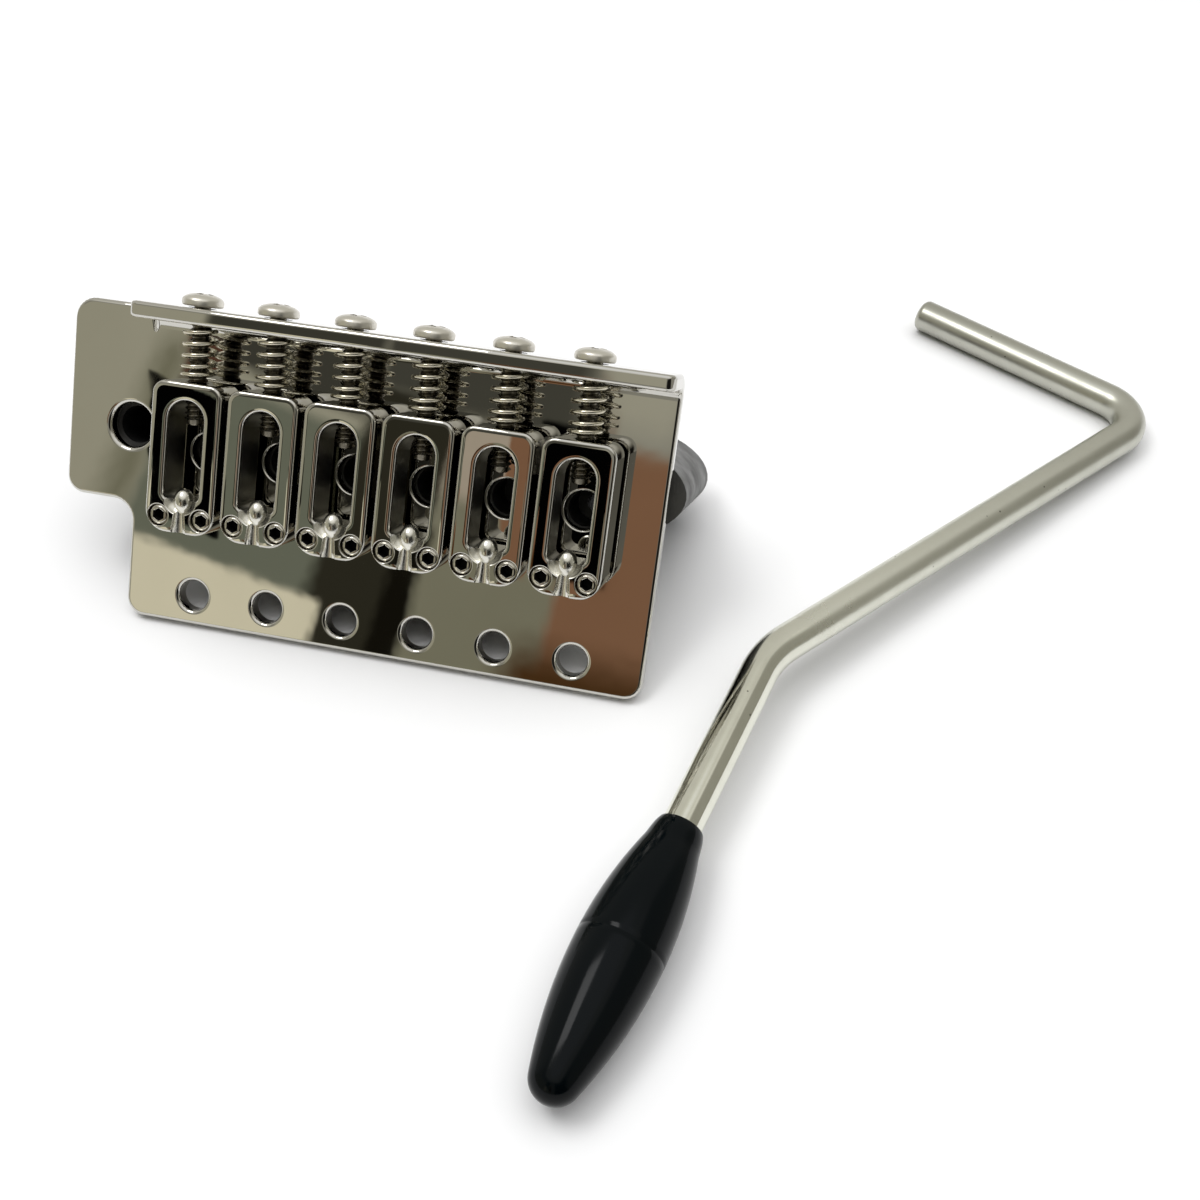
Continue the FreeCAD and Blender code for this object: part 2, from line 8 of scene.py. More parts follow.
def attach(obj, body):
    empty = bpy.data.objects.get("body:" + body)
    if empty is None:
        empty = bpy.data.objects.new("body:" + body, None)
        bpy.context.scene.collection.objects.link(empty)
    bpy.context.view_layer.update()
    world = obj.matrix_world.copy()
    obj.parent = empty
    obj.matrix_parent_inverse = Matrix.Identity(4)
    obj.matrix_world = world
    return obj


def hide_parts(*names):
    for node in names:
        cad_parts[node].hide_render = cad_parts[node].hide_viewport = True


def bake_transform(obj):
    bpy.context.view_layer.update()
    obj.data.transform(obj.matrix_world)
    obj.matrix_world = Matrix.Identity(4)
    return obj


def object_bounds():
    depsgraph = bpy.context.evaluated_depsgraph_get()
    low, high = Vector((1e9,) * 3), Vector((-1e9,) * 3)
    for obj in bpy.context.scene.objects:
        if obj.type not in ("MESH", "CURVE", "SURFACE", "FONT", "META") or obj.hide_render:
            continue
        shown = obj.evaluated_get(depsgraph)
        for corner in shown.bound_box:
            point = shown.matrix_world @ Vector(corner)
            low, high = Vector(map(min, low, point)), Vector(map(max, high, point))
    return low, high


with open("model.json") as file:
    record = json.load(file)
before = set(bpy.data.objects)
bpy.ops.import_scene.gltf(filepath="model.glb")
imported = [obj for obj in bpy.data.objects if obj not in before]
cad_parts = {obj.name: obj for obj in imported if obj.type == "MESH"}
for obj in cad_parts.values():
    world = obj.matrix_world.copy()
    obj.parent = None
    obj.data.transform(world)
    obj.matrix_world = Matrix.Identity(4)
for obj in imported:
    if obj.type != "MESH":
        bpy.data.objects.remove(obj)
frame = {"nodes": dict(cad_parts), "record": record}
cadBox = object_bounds()
scene = bpy.context.scene
scene.view_settings.view_transform = "Standard"

# Pieces are modelled flat, in plate millimetres: x along the saddles, y to the lip,
# z out of the plate's face.
plateNormal = Vector(frame["record"]["mounts"][0]["axis"])
lean = math.atan2(-plateNormal.y, plateNormal.z)
millimetre = Matrix.Scale(0.001, 4)
toRow = Matrix.Rotation(lean, 4, "X") @ millimetre  # leans a flat piece back to where it stands
floorZ = cadBox[0][2] * 1000
xAxis, yAxis, zAxis = Vector((1, 0, 0)), Vector((0, 1, 0)), Vector((0, 0, 1))
stringPitch = 10.8
stringXs = [stringPitch * (i - 2.5) for i in range(6)]
pivotPitch = 11.2
pivotXs = [pivotPitch * (i - 2.5) for i in range(6)]
screwZ = 5.2  # height of the intonation screws over the plate
past = 1.0  # how far a cutter runs past the face that it opens
near = 0.01  # places this close count as one
weld = 0.0005  # points this close are merged
facing = 0.999  # cosine above which a face looks along an axis
square = 0.99999  # the same for a side that is kept a flat mirror
print("frame loaded, lean", round(math.degrees(lean), 2))


def linear(hexCode):
    channels = [int(hexCode[i:i + 2], 16) / 255 for i in (1, 3, 5)]
    return [c / 12.92 if c <= 0.04045 else ((c + 0.055) / 1.055) ** 2.4 for c in channels] + [1.0]


def addNode(tree, kind, links=None, **settings):
    node = tree.nodes.new(kind)
    for name, value in settings.items():
        setattr(node, name, value)
    for socket, value in (links or {}).items():
        if isinstance(value, bpy.types.NodeSocket):
            tree.links.new(value, node.inputs[socket])
        else:
            node.inputs[socket].default_value = value
    return node


def newMaterial(name, metallic):
    material = bpy.data.materials.new(name)
    material.use_nodes = True
    shader = material.node_tree.nodes["Principled BSDF"]
    shader.inputs["Metallic"].default_value = metallic
    return material, material.node_tree, shader


def perMetre(millimetres):
    return 1000 / millimetres  # texture scale for a pattern of this size


def mottle(tree, shader, colours, roughness, grain, bumpSize, bumpHeight):
    # colour and roughness drift together over one noise, and a finer noise lifts the surface
    place = addNode(tree, "ShaderNodeTexCoord").outputs["Object"]
    cloud = addNode(tree, "ShaderNodeTexNoise", {"Vector": place, "Scale": perMetre(grain), "Detail": 4.0})
    tint = addNode(tree, "ShaderNodeMix", {
        "Factor": cloud.outputs[0], "A": linear(colours[0]), "B": linear(colours[1])}, data_type="RGBA")
    gloss = addNode(tree, "ShaderNodeMapRange", {
        "Value": cloud.outputs[0], "From Min": 0.3, "From Max": 0.7,
        "To Min": roughness[0], "To Max": roughness[1]})
    fine = addNode(tree, "ShaderNodeTexNoise", {"Vector": place, "Scale": perMetre(bumpSize), "Detail": 3.0})
    bump = addNode(tree, "ShaderNodeBump", {
        "Height": fine.outputs[0], "Strength": 1.0, "Distance": bumpHeight / 1000})
    tree.links.new(tint.outputs["Result"], shader.inputs["Base Color"])
    tree.links.new(gloss.outputs[0], shader.inputs["Roughness"])
    tree.links.new(bump.outputs[0], shader.inputs["Normal"])
    return tint, gloss


def polishedChrome():
    # Chromium plate on polished sheet: a dark warm mirror whose reflections waver a little.
    material, tree, shader = newMaterial("polishedChrome", 1.0)
    mottle(tree, shader, ("#c9c7c1", "#c2c0b9"), (0.0, 0.03), grain=9, bumpSize=14, bumpHeight=0.018)
    return material


def saddleChrome():
    # Chromium plate on a die casting: the same mirror over softer, less even faces.
    material, tree, shader = newMaterial("saddleChrome", 1.0)
    mottle(tree, shader, ("#cbc9c3", "#c0beb7"), (0.0, 0.02), grain=4, bumpSize=2.2, bumpHeight=0.0008)
    return material


def armChrome():
    # Chromium plate on drawn rod: hazy and pitted on the long runs, smoother beside the tip; painted light
    # and shade make the colour paler beside the tip and darker towards the plain end, dimming the long runs'
    # highlight.
    material, tree, shader = newMaterial("armChrome", 1.0)
    tint, gloss = mottle(tree, shader, ("#d3d3c8", "#c5c5b9"), (0.28, 0.38),
                         grain=3, bumpSize=0.9, bumpHeight=0.003)
    place = addNode(tree, "ShaderNodeTexCoord").outputs["Object"]
    pits = addNode(tree, "ShaderNodeTexVoronoi", {"Vector": place, "Scale": perMetre(2.6)})
    spot = addNode(tree, "ShaderNodeMapRange", {
        "Value": pits.outputs["Distance"], "From Min": 0.03, "From Max": 0.07})
    dark = addNode(tree, "ShaderNodeMix", {
        "Factor": spot.outputs[0], "A": linear("#5d594f"), "B": tint.outputs["Result"]}, data_type="RGBA")
    along = addNode(tree, "ShaderNodeSeparateXYZ", {0: place}).outputs["Y"]
    # painted shade and light: the base colour is multiplied paler beside the tip and darker towards the plain
    # end
    paintedDim = addNode(tree, "ShaderNodeMapRange", {
        "Value": along, "From Min": -0.002, "From Max": 0.085,
        "To Min": 1.2, "To Max": 0.72})  # painted shade towards the plain end, painted light beside the tip
    shade = addNode(tree, "ShaderNodeMix", {
        "Factor": 1.0, "A": dark.outputs["Result"], "B": paintedDim.outputs[0]},
        data_type="RGBA", blend_type="MULTIPLY")
    tree.links.new(shade.outputs["Result"], shader.inputs["Base Color"])
    worn = addNode(tree, "ShaderNodeMapRange", {
        "Value": along, "From Min": -0.002, "From Max": 0.016,
        "To Min": 0.3, "To Max": 1.0})  # still smooth beside the tip
    haze = addNode(tree, "ShaderNodeMath", {0: gloss.outputs[0], 1: worn.outputs[0]}, operation="MULTIPLY")
    tree.links.new(haze.outputs[0], shader.inputs["Roughness"])
    return material


def satinNickel():
    # Nickel plate on steel screws: warm grey with a soft, broad shine.
    material, tree, shader = newMaterial("satinNickel", 1.0)
    mottle(tree, shader, ("#dedbd2", "#ccc8bd"), (0.28, 0.4), grain=1.2, bumpSize=0.35, bumpHeight=0.003)
    return material


def shadedThreadSteel():
    # Rolled threads with a broken shine between the coils, their colour darkened as painted shade for the
    # shadow inside the springs.
    material, tree, shader = newMaterial("shadedThreadSteel", 1.0)
    mottle(tree, shader, ("#8a8578", "#5f5b51"), (0.22, 0.36), grain=0.9, bumpSize=0.3, bumpHeight=0.004)
    return material


def shadedSlotChrome():
    # Chrome slot walls, their colour darkened as painted shade inside the slot: a darker, softer mirror.
    material, tree, shader = newMaterial("shadedSlotChrome", 1.0)
    mottle(tree, shader, ("#908e84", "#7c7a70"), (0.28, 0.36), grain=3, bumpSize=2.5, bumpHeight=0.0006)
    return material


def satinChrome():
    # Plated casting left as cast along the string's path: a pale, blurred shine.
    material, tree, shader = newMaterial("satinChrome", 1.0)
    mottle(tree, shader, ("#e4e2da", "#d2d0c6"), (0.16, 0.28), grain=1.5, bumpSize=0.5, bumpHeight=0.003)
    return material


def springWire():
    # Drawn spring wire: bright, a little yellow, with fine draw marks.
    material, tree, shader = newMaterial("springWire", 1.0)
    mottle(tree, shader, ("#d6d1c0", "#bdb7a5"), (0.12, 0.22), grain=0.8, bumpSize=0.2, bumpHeight=0.002)
    return material


def grubNickel():
    # Bright nickel on the height screws: small smooth domes that catch the softbox.
    material, tree, shader = newMaterial("grubNickel", 1.0)
    mottle(tree, shader, ("#d2cfc6", "#c2beb3"), (0.08, 0.16), grain=1.0, bumpSize=0.4, bumpHeight=0.0015)
    return material


def blackSteel():
    # Oxidised steel inside the hex sockets: nearly black, dull.
    material, tree, shader = newMaterial("blackSteel", 0.6)
    mottle(tree, shader, ("#171614", "#0c0b0a"), (0.5, 0.7), grain=0.8, bumpSize=0.2, bumpHeight=0.003)
    return material


def castZinc():
    # Bare zinc die casting: dull dark grey with cloudy stains and a grainy skin.
    material, tree, shader = newMaterial("castZinc", 0.6)
    mottle(tree, shader, ("#5b5b58", "#2f2f2e"), (0.4, 0.6), grain=4.5, bumpSize=0.7, bumpHeight=0.05)
    return material


def glossAbs():
    # Moulded ABS, dyed black: deep gloss with a slight ripple.
    material, tree, shader = newMaterial("glossAbs", 0.0)
    mottle(tree, shader, ("#04090b", "#03070a"), (0.1, 0.16), grain=5, bumpSize=2.5, bumpHeight=0.004)
    shader.inputs["IOR"].default_value = 1.54
    shader.inputs["Specular IOR Level"].default_value = 0.1
    return material


def blackNylon():
    # Turned nylon: matt black that drinks the light inside the arm's hole.
    material, tree, shader = newMaterial("blackNylon", 0.0)
    mottle(tree, shader, ("#141414", "#0a0a0a"), (0.45, 0.6), grain=2, bumpSize=0.4, bumpHeight=0.005)
    shader.inputs["IOR"].default_value = 1.53
    return material


plateFinish = polishedChrome()
saddleFinish = saddleChrome()
armFinish = armChrome()
screwFinish = satinNickel()
shadedThreadFinish = shadedThreadSteel()
shadedSlotFinish = shadedSlotChrome()
pathFinish = satinChrome()
wireFinish = springWire()
grubFinish = grubNickel()
socketFinish = blackSteel()
blockFinish = castZinc()
tipFinish = glossAbs()
bushFinish = blackNylon()
print("materials made")


def vertsOf(geom):
    return [item for item in geom if isinstance(item, bmesh.types.BMVert)]


def roundEdges(bm, edges, radius, segments):
    bmesh.ops.bevel(bm, geom=edges, offset=radius, affect="EDGES", segments=segments,
                    profile=0.5, material=-1)


def sharpEdges(bm, test=lambda edge: True, degrees=50):
    return [e for e in bm.edges
            if len(e.link_faces) == 2 and e.calc_face_angle(0) > math.radians(degrees) and test(e)]


def prism(bm, corners, low, high, segments):
    # straight-sided solid over (x, y, radius) corners
    face = bm.faces.new([bm.verts.new((x, y, low)) for x, y, radius in corners])
    raised = bmesh.ops.extrude_face_region(bm, geom=[face])["geom"]
    bmesh.ops.translate(bm, verts=vertsOf(raised), vec=(0, 0, high - low))
    bmesh.ops.recalc_face_normals(bm, faces=bm.faces)
    for i, (x, y, radius) in enumerate(corners):
        if radius > 0:
            before = Vector(corners[i - 1][:2]) - Vector((x, y))
            after = Vector(corners[(i + 1) % len(corners)][:2]) - Vector((x, y))
            edge = next(e for e in bm.edges if all(math.dist(v.co.xy, (x, y)) < near / 10 for v in e.verts))
            roundEdges(bm, [edge], radius / math.tan(before.angle(after) / 2), segments)


def revolve(bm, profile, centre, axis, side, steps=48):
    # spins (radius, height) points about an axis
    verts = [bm.verts.new(centre + axis * height + side * radius) for radius, height in profile]
    edges = [bm.edges.new(pair) for pair in zip(verts, verts[1:])]
    bmesh.ops.spin(bm, geom=verts + edges, cent=centre, axis=axis, angle=2 * math.pi, steps=steps,
                   use_merge=True)
    bmesh.ops.remove_doubles(bm, verts=bm.verts, dist=weld)
    bmesh.ops.recalc_face_normals(bm, faces=bm.faces)


def arc(centreR, centreH, radius, startDegrees, endDegrees, steps=5):
    turns = [math.radians(startDegrees + (endDegrees - startDegrees) * k / steps) for k in range(steps + 1)]
    return [(centreR + radius * math.cos(t), centreH + radius * math.sin(t)) for t in turns]


def asObject(bm, name):
    mesh = bpy.data.meshes.new(name)
    bm.to_mesh(mesh)
    bm.free()
    item = bpy.data.objects.new(name, mesh)
    scene.collection.objects.link(item)
    return item


def combine(bm, tool, operation="DIFFERENCE"):
    base = asObject(bm, "base")
    other = asObject(tool, "tool")
    step = base.modifiers.new("combine", "BOOLEAN")
    step.operation = operation
    step.solver = "EXACT"
    step.object = other
    mesh = bpy.data.meshes.new_from_object(base.evaluated_get(bpy.context.evaluated_depsgraph_get()))
    result = bmesh.new()
    result.from_mesh(mesh)
    bpy.data.meshes.remove(mesh)
    for item in (base, other):
        data = item.data
        bpy.data.objects.remove(item)
        bpy.data.meshes.remove(data)
    bmesh.ops.remove_doubles(result, verts=result.verts, dist=weld)
    return result


def makePiece(name, bm, finishes, place=toRow, flatSides=False, smoothDegrees=40):
    # square sides stay flat mirrors if asked, the rest is smooth up to the given angle
    bm.normal_update()
    flat = [flatSides and max(abs(c) for c in face.normal) > square for face in bm.faces]
    bm.transform(place)
    mesh = bpy.data.meshes.new(name)
    bm.to_mesh(mesh)
    bm.free()
    mesh.set_sharp_from_angle(angle=math.radians(smoothDegrees))
    for face, isFlat in zip(mesh.polygons, flat):
        face.use_smooth = not isFlat
    for finish in finishes:
        mesh.materials.append(finish)
    piece = bpy.data.objects.new(name, mesh)
    scene.collection.objects.link(piece)
    return piece


def holeCutter(bm, x, y, radius, rim, depth, top=0.0):
    # straight hole whose upper edge is rolled over by the rim radius
    profile = [(0, -depth - past), (radius, -depth - past)]
    profile += [(radius + rim - dx, dz - rim) for dx, dz in arc(0, 0, rim, 0, 90)]
    profile += [(radius + rim, past), (0, past)]
    revolve(bm, profile, Vector((x, y, top)), zAxis, xAxis)


plate = {
    "halfWidth": 38.2, "frontY": -4.2, "thickness": 2.2, "cornerR": 2.6, "edgeR": 0.55,
    "bendY": 37.2, "bendR": 1.5, "lipTop": 8.7, "lipLeftX": -36.0, "lipCornerR": 1.2,
    "slit": 0.5, "slitDepth": 0.6, "notchR": 3.0,
    "earLeftX": -48.5, "earFrontY": 12.3, "earRearY": 40.1,
    "earFrontR": 2.5, "earRearR": 3.0, "earRightR": 1.2,
    "pivotR": 2.15, "pivotRim": 0.6, "stringY": 21.0, "stringR": 2.65, "stringRim": 0.35,
    "lipHoleR": 1.85, "lipHoleRim": 0.2, "armX": -39.0, "armY": 23.1, "armR": 3.1, "armRim": 0.7,
    "screwXs": (-21.6, 0, 21.6), "screwY": 27.5, "seatR": 2.75, "stemR": 1.5, "stemReach": 4,
}


def plateBlank():
    p = plate
    bm = bmesh.new()
    slitX = p["lipLeftX"] - p["slit"]
    slitY = p["bendY"] - p["slitDepth"]
    prism(bm, [
        (-p["halfWidth"], p["frontY"], p["cornerR"]),
        (p["halfWidth"], p["frontY"], p["cornerR"]),
        (p["halfWidth"], p["bendY"], 0),
        (p["lipLeftX"], p["bendY"], 0),
        (p["lipLeftX"], slitY, 0),
        (slitX, slitY, 0),
        (slitX, p["earRearY"], p["earRightR"]),
        (p["earLeftX"], p["earRearY"], p["earRearR"]),
        (p["earLeftX"], p["earFrontY"], p["earFrontR"]),
        (-p["halfWidth"], p["earFrontY"], p["notchR"]),
    ], -p["thickness"], 0, segments=8)
    rear = next(f for f in bm.faces
                if f.normal.y > facing and abs(f.calc_center_median().y - p["bendY"]) < near)
    bent = bmesh.ops.spin(bm, geom=[rear] + list(rear.edges) + list(rear.verts), axis=xAxis, steps=10,
                          cent=(0, p["bendY"], p["bendR"]), angle=math.pi / 2)["geom_last"]
    top = next(f for f in bent if isinstance(f, bmesh.types.BMFace))
    raised = bmesh.ops.extrude_face_region(bm, geom=[top] + list(top.edges) + list(top.verts))["geom"]
    bmesh.ops.translate(bm, verts=vertsOf(raised), vec=(0, 0, p["lipTop"] - p["bendR"]))
    bmesh.ops.recalc_face_normals(bm, faces=bm.faces)
    ends = [e for e in bm.edges if all(abs(v.co.z - p["lipTop"]) < near for v in e.verts)
            and abs(e.verts[0].co.x - e.verts[1].co.x) < near]
    roundEdges(bm, ends, p["lipCornerR"], segments=6)

    def atSlit(vert):
        inSlit = (slitX - near < vert.co.x < p["lipLeftX"] + near
                  and slitY - near < vert.co.y < p["bendY"] + near)
        return inSlit or abs(vert.co.x - slitX) < near

    rims = sharpEdges(bm, lambda e: not all(atSlit(v) for v in e.verts))
    roundEdges(bm, rims, p["edgeR"], segments=6)
    for left, right in zip(stringXs, stringXs[1:]):  # the lip's faces are parted between its holes
        faces = [f for f in bm.faces if abs(f.normal.y) > facing and f.calc_center_median().z > p["bendR"]]
        edges = list(dict.fromkeys(e for f in faces for e in f.edges))
        verts = list(dict.fromkeys(v for f in faces for v in f.verts))
        bmesh.ops.bisect_plane(bm, geom=faces + edges + verts, plane_co=((left + right) / 2, 0, 0),
                               plane_no=xAxis)
    return bm


def pressedPlate():
    p = plate
    lipY = p["bendY"] + p["bendR"]
    rim = p["lipHoleRim"]
    lipHole = [(0, -past), (p["lipHoleR"] + rim, -past)]
    lipHole += [(p["lipHoleR"] + rim - dx, rim - dz) for dx, dz in arc(0, 0, rim, 90, 0)]
    lipHole += [(p["lipHoleR"], p["thickness"] + past), (0, p["thickness"] + past)]
    seatDrop = p["seatR"] - p["stemR"]
    screwSeat = [(0, -p["stemReach"]), (p["stemR"], -p["stemReach"]), (p["stemR"], -seatDrop),
                 (p["seatR"], 0), (p["seatR"], past), (0, past)]
    cutter = bmesh.new()
    for x in pivotXs:
        holeCutter(cutter, x, 0, p["pivotR"], p["pivotRim"], p["thickness"])
    for x in stringXs:
        holeCutter(cutter, x, p["stringY"], p["stringR"], p["stringRim"], p["thickness"])
        revolve(cutter, lipHole, Vector((x, lipY, screwZ)), yAxis, xAxis)
    holeCutter(cutter, p["armX"], p["armY"], p["armR"], p["armRim"], p["thickness"])
    for x in p["screwXs"]:
        revolve(cutter, screwSeat, Vector((x, p["screwY"], 0)), zAxis, xAxis)
    bm = combine(plateBlank(), cutter)
    piece = makePiece("pressedPlate", bm, [plateFinish], flatSides=True)
    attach(piece, "bridge")
    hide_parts("base_plate")


pressedPlate()
print("plate made")

saddle = {
    "halfWidth": 5.0, "frontY": 10.4, "rearY": 31.0, "low": 2.0, "top": 8.2,
    "frontR": 3.0, "rearR": 1.8, "edgeR": 0.4, "crownBand": 0.3, "crown": 0.004, "rimR": 0.09,
    "slotHalf": 2.6, "slotFrontY": 15.0, "slotRearY": 28.6, "slotFrontR": 0.9, "slotEdgeR": 0.35,
    "grooveFront": 1.2, "grooveNeck": 0.7, "neckY": 13.4,
    "bowl": (2.7, 2.2, 2.4), "bowlY": 14.9, "bowlRise": 1.2,
    "bearing": (1.38, 1.8, 1.3), "bearingY": 14.8, "bearingZ": 6.95,
    "grubX": 3.1, "grubY": 12.6, "grubR": 1.5, "grubRim": 0.17,
    "threadR": 1.5, "threadBack": 0.6, "threadReach": 4.2,
    "pathDepth": 2.4, "pathLead": 0.6, "pathInset": 0.4,
}


def roundForm(radii, y, z, segments, rings):
    # a ball stretched to its three radii
    bm = bmesh.new()
    bmesh.ops.create_uvsphere(bm, u_segments=segments, v_segments=rings, radius=1)
    bmesh.ops.scale(bm, verts=bm.verts, vec=radii)
    bmesh.ops.translate(bm, verts=bm.verts, vec=(0, y, z))
    return bm


def saddleCasting():
    s = saddle
    bm = bmesh.new()
    prism(bm, [
        (-s["halfWidth"], s["frontY"], s["frontR"]),
        (s["halfWidth"], s["frontY"], s["frontR"]),
        (s["halfWidth"], s["rearY"], s["rearR"]),
        (-s["halfWidth"], s["rearY"], s["rearR"]),
    ], s["low"], s["top"], segments=8)
    roundEdges(bm, sharpEdges(bm), s["edgeR"], segments=4)
    slot = bmesh.new()
    prism(slot, [
        (-s["slotHalf"], s["slotFrontY"], s["slotFrontR"]),
        (s["slotHalf"], s["slotFrontY"], s["slotFrontR"]),
        (s["slotHalf"], s["slotRearY"], s["slotHalf"] - near),
        (-s["slotHalf"], s["slotRearY"], s["slotHalf"] - near),
    ], s["low"] - past, s["top"] + past, segments=10)
    bm = combine(bm, slot)
    roundEdges(bm, sharpEdges(bm), s["slotEdgeR"], segments=4)
    topFaces = [f for f in bm.faces if f.normal.z > facing and f.calc_center_median().z > s["top"] - near]
    bmesh.ops.inset_region(bm, faces=topFaces, thickness=s["crownBand"], depth=s["crown"],
                           use_even_offset=True)
    groove = bmesh.new()
    revolve(groove, [(0, s["frontY"] - past), (s["grooveFront"], s["frontY"] - past),
                     (s["grooveNeck"], s["neckY"]), (s["grooveNeck"], s["bowlY"]), (0, s["bowlY"])],
            Vector((0, 0, s["top"] + s["crown"])), yAxis, xAxis, steps=40)
    bm = combine(bm, groove)
    bm = combine(bm, roundForm(s["bowl"], s["bowlY"], s["top"] + s["bowlRise"], 48, 32))
    rim = sharpEdges(bm, lambda e: all(v.co.z > s["top"] - 2 * near for v in e.verts), degrees=25)
    roundEdges(bm, rim, s["rimR"], segments=2)
    bm = combine(bm, roundForm(s["bearing"], s["bearingY"], s["bearingZ"], 32, 20), "UNION")
    holes = bmesh.new()
    for side in (-1, 1):
        holeCutter(holes, side * s["grubX"], s["grubY"], s["grubR"], s["grubRim"],
                   s["top"] - s["low"], s["top"] + s["crown"])
    revolve(holes, [(0, -past), (s["threadR"], -past), (s["threadR"], s["threadReach"]),
                    (0, s["threadReach"])],
            Vector((0, s["slotRearY"] - s["threadBack"], screwZ)), yAxis, xAxis, steps=32)
    bm = combine(bm, holes)
    bm.normal_update()
    for face in bm.faces:
        face.material_index = saddleSkin(face)
    return bm


def saddleSkin(face):
    # 0 polished, 1 on the slot's walls (painted shade), 2 along the string's path
    s = saddle
    spot = face.calc_center_median()
    fromGrub = math.hypot(abs(spot.x) - s["grubX"], spot.y - s["grubY"])
    besideGrub = fromGrub > s["grubR"] + s["grubRim"] - 2 * near
    sunk = s["top"] - s["pathDepth"] < spot.z < s["top"] - near / 2
    onPath = abs(spot.x) < s["grooveFront"] or s["neckY"] - s["pathLead"] < spot.y
    inBowl = abs(spot.x) < s["bowl"][0] - s["pathInset"] and spot.y < s["bearingY"] + s["bearing"][1]
    if sunk and besideGrub and onPath and inBowl:
        return 2
    margin = 0.05
    upright = abs(face.normal.z) < 0.3 and spot.z < s["top"] - s["slotEdgeR"]
    inSlot = (abs(spot.x) < s["slotHalf"] + margin
              and s["slotFrontY"] - 2 * margin < spot.y < s["slotRearY"] + margin)
    return 1 if upright and inSlot else 0


casting = saddleCasting()
for number, x in enumerate(stringXs, 1):
    copy = casting.copy()
    bmesh.ops.translate(copy, verts=copy.verts, vec=(x, 0, 0))
    finishes = [saddleFinish, shadedSlotFinish, pathFinish]
    piece = makePiece("saddleCasting%d" % number, copy, finishes, flatSides=True)
    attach(piece, "saddle_body_%d" % number)
    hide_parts("saddle_%d" % number)
casting.free()
print("saddles made")

screw = {
    "stemR": 1.1, "tipY": 25.2, "tipEase": 0.15, "seatY": 41.15, "plainLength": 2.6,
    "headR": 2.75, "headRim": 0.7, "headHeight": 1.75, "edgeEase": 0.2, "domeSteps": 8,
    "recessWidth": 0.9, "recessSpan": 2.8, "recessDepth": 1.0,
    "threadR": 1.45, "pitch": 0.7, "threadStart": 0.45, "ridgeShare": 0.46, "ridgeSink": 0.05,
    "stepsPerTurn": 20,
}


def panScrew():
    s = screw
    bm = bmesh.new()
    dome = s["headHeight"] - s["headRim"]
    crown = s["seatY"] + s["headHeight"]
    profile = [(0, s["tipY"]), (s["stemR"] - s["tipEase"], s["tipY"]),
               (s["stemR"], s["tipY"] + s["edgeEase"]), (s["stemR"], s["seatY"]),
               (s["headR"] - s["edgeEase"], s["seatY"]), (s["headR"], s["seatY"] + s["edgeEase"])]
    for k in range(s["domeSteps"] + 1):
        turn = math.radians(90 * k / s["domeSteps"])
        height = s["seatY"] + s["headRim"] + dome * math.sin(turn)
        profile.append((s["headR"] * math.cos(turn), height))
    revolve(bm, profile, Vector((0, 0, screwZ)), yAxis, xAxis)
    for width, span in ((s["recessWidth"], s["recessSpan"]), (s["recessSpan"], s["recessWidth"])):
        slot = bmesh.new()
        bmesh.ops.create_cube(slot, size=1, matrix=Matrix.Translation((0, crown, screwZ))
                              @ Matrix.Diagonal((width, 2 * s["recessDepth"], span, 1)))
        bm = combine(bm, slot)
    # one helical ridge of triangular section is wound along the stem
    rootR, halfWidth = s["stemR"] - s["ridgeSink"], s["pitch"] * s["ridgeShare"]
    section = [(rootR, -halfWidth), (s["threadR"], 0), (rootR, halfWidth)]
    verts = [bm.verts.new((r, s["tipY"] + s["threadStart"] + h, screwZ)) for r, h in section]
    start = bm.faces.new(verts)
    turns = int((s["seatY"] - s["plainLength"] - s["tipY"]) / s["pitch"])
    bmesh.ops.spin(bm, geom=[start] + list(start.edges) + verts, cent=(0, 0, screwZ), axis=yAxis,
                   dvec=(0, s["pitch"] / s["stepsPerTurn"], 0), angle=2 * math.pi * turns,
                   steps=s["stepsPerTurn"] * turns)
    bmesh.ops.holes_fill(bm, edges=[e for e in bm.edges if e.is_boundary], sides=3)
    bmesh.ops.recalc_face_normals(bm, faces=bm.faces)
    # the stem below the head takes the darker thread colour, painted shade inside the spring
    for face in bm.faces:
        face.material_index = int(face.calc_center_median().y < s["seatY"] - near)
    return bm


shape = panScrew()
for number, x in enumerate(stringXs, 1):
    copy = shape.copy()
    bmesh.ops.translate(copy, verts=copy.verts, vec=(x, 0, 0))
    piece = makePiece("intonationScrew%d" % number, copy, [screwFinish, shadedThreadFinish])
    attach(piece, "screw_body_%d" % number)
    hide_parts("intonation_screw_%d" % number)
shape.free()
print("intonation screws made")

spring = {
    "meanR": 2.2, "wireR": 0.3, "startY": 38.1, "openLength": 4.925, "openTurns": 3.25,
    "closePitch": 1.05, "closeTurns": 1.5, "stepsPerTurn": 32,
}


def compressionSpring(x):
    s = spring
    bm = bmesh.new()
    ring = bmesh.ops.create_circle(bm, cap_ends=True, segments=12, radius=s["wireR"])["verts"]
    bmesh.ops.translate(bm, verts=ring, vec=(x + s["meanR"], s["startY"], screwZ))
    end = bm.faces[:] + bm.edges[:] + bm.verts[:]
    closeLength = s["closePitch"] * s["closeTurns"]
    for turns, advance in ((s["openTurns"], s["openLength"]), (s["closeTurns"], closeLength)):
        steps = round(turns * s["stepsPerTurn"])
        end = bmesh.ops.spin(bm, geom=end, cent=(x, 0, screwZ), axis=yAxis, dvec=(0, -advance / steps, 0),
                             angle=-2 * math.pi * turns, steps=steps)["geom_last"]
    bmesh.ops.holes_fill(bm, edges=[e for e in bm.edges if e.is_boundary], sides=0)
    bmesh.ops.recalc_face_normals(bm, faces=bm.faces)
    return bm


